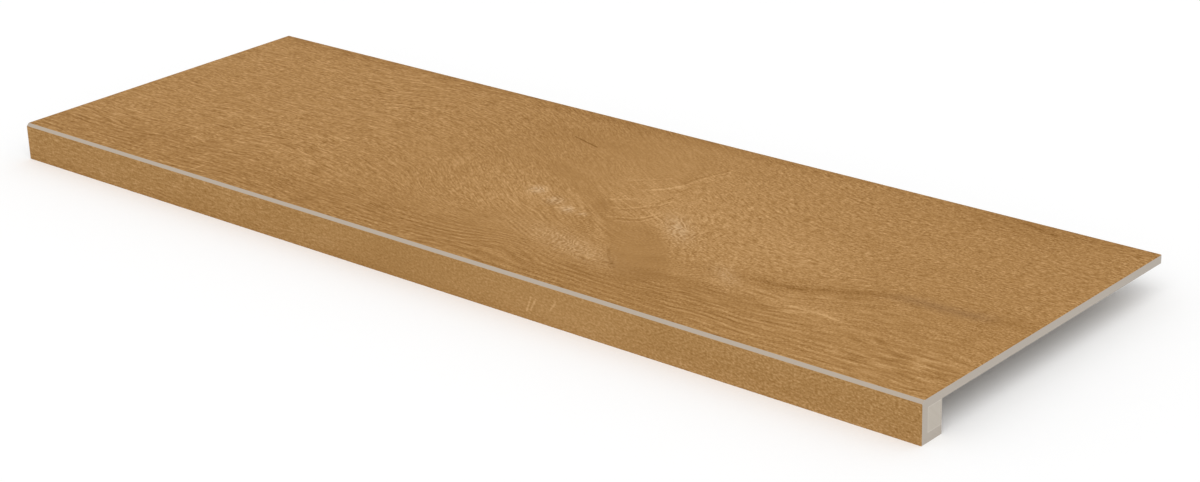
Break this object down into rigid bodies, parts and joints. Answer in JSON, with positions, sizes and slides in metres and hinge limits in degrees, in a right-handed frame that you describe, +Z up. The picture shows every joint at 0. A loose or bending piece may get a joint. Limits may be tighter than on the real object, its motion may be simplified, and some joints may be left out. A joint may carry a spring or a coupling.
{
  "type": "stair tread tile",
  "caption": "Long flat porcelain stair tread with a wood-look glazed top and a deep built-up nosing, mitred and chamfered along its front edge.",
  "frame": {"origin": "on the plane under the nosing, at the middle of the tread's length and depth", "axes": "+X along the step, +Y from the nosing towards the riser behind, +Z up through the walking surface"},
  "size_m": [1.198, 0.398, 0.042],
  "materials": {
    "wood_look_glaze": "matte printed glaze with a fine lengthwise brushed grain, on a light warm-grey body",
    "porcelain_body": "unglazed, sawn and ground, light warm grey",
    "nosing_filler": "matte, slightly porous, pale beige"
  },
  "bodies": {
    "root": {"tread_slab": "wood_look_glaze", "front_strip": "wood_look_glaze", "bottom_strip": "porcelain_body", "core_strip": "nosing_filler"}
  },
  "joints": []
}
